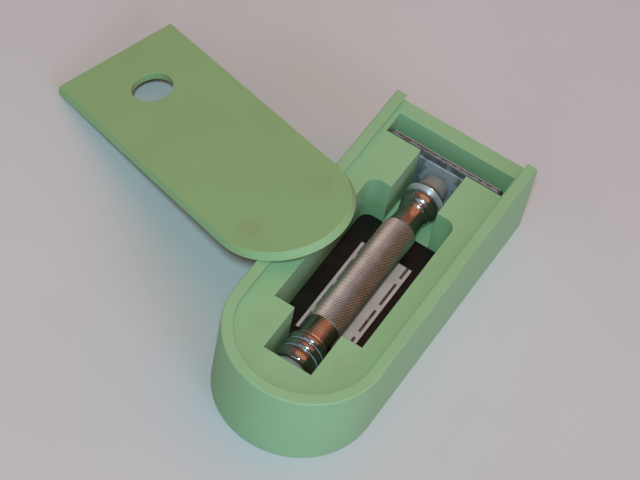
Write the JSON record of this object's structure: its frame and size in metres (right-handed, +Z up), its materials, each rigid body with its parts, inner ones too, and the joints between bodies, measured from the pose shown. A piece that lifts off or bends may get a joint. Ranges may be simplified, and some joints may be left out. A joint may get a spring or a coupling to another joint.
{
  "type": "razor case",
  "caption": "Printed travel case with a sliding dovetail lid, set against its side, holding a double-edge razor with a twist knob and a pack of spare blades.",
  "frame": {"origin": "middle of the case's flat base, on the table", "axes": "+X across the case away from the lid, +Y towards the straight open end where the lid slides in, +Z up"},
  "size_m": [0.157, 0.1284, 0.0403],
  "materials": {
    "case_plastic": "matte printed plastic",
    "chrome_plate": "polished plate over brass, lightly worn",
    "knurled_grip": "diamond knurl, plated, worn",
    "blade_steel": "ground stainless strip",
    "brass_inner": "turned",
    "spring_steel": "bright rolled",
    "magnet_nickel": "nickel plated",
    "pack_plastic": "black moulded, satin",
    "label_paper": "printed sticker, left plain"
  },
  "bodies": {
    "case": {"case_body": "case_plastic", "case_magnets": "magnet_nickel"},
    "lid": {"lid": "case_plastic", "lid_magnets": "magnet_nickel"},
    "razor": {"guard_plate": "chrome_plate", "blade": "blade_steel", "handle_collar": "chrome_plate", "handle_barrel": "knurled_grip", "knob_washer": "spring_steel"},
    "knob": {"twist_knob": "chrome_plate", "sleeve_nut": "brass_inner", "retaining_ring": "spring_steel"},
    "cap": {"cap_plate": "chrome_plate", "cap_stud": "brass_inner"},
    "pack": {"dispenser_tray": "pack_plastic", "dispenser_cover": "pack_plastic", "dispenser_label": "label_paper", "spare_blades": "blade_steel", "feed_spring": "spring_steel"}
  },
  "joints": [
    {"name": "lid_lift", "type": "slide", "parent": "case", "child": "lid", "axis": [0, 0, 1], "range_m": [0, 0.08]},
    {"name": "razor_lift", "type": "slide", "parent": "case", "child": "razor", "axis": [0, 0, 1], "range_m": [0, 0.06]},
    {"name": "pack_lift", "type": "slide", "parent": "case", "child": "pack", "axis": [0, 0, 1], "range_m": [0, 0.0201]},
    {"name": "knob_turn", "type": "hinge", "parent": "razor", "child": "knob", "pos_m": [-0.0003, -0.0316, 0.0166], "axis": [0, 1, 0], "range_deg": [0, 360]},
    {"name": "cap_rise", "type": "slide", "parent": "razor", "child": "cap", "axis": [0, 1, 0], "range_m": [0, 0.0008]}
  ],
  "couplings": [
    {"joint": "pack_lift", "follows": "razor_lift", "ratio": 0.3333},
    {"joint": "knob_turn", "follows": "cap_rise", "rad_per_m": 7853.9}
  ]
}
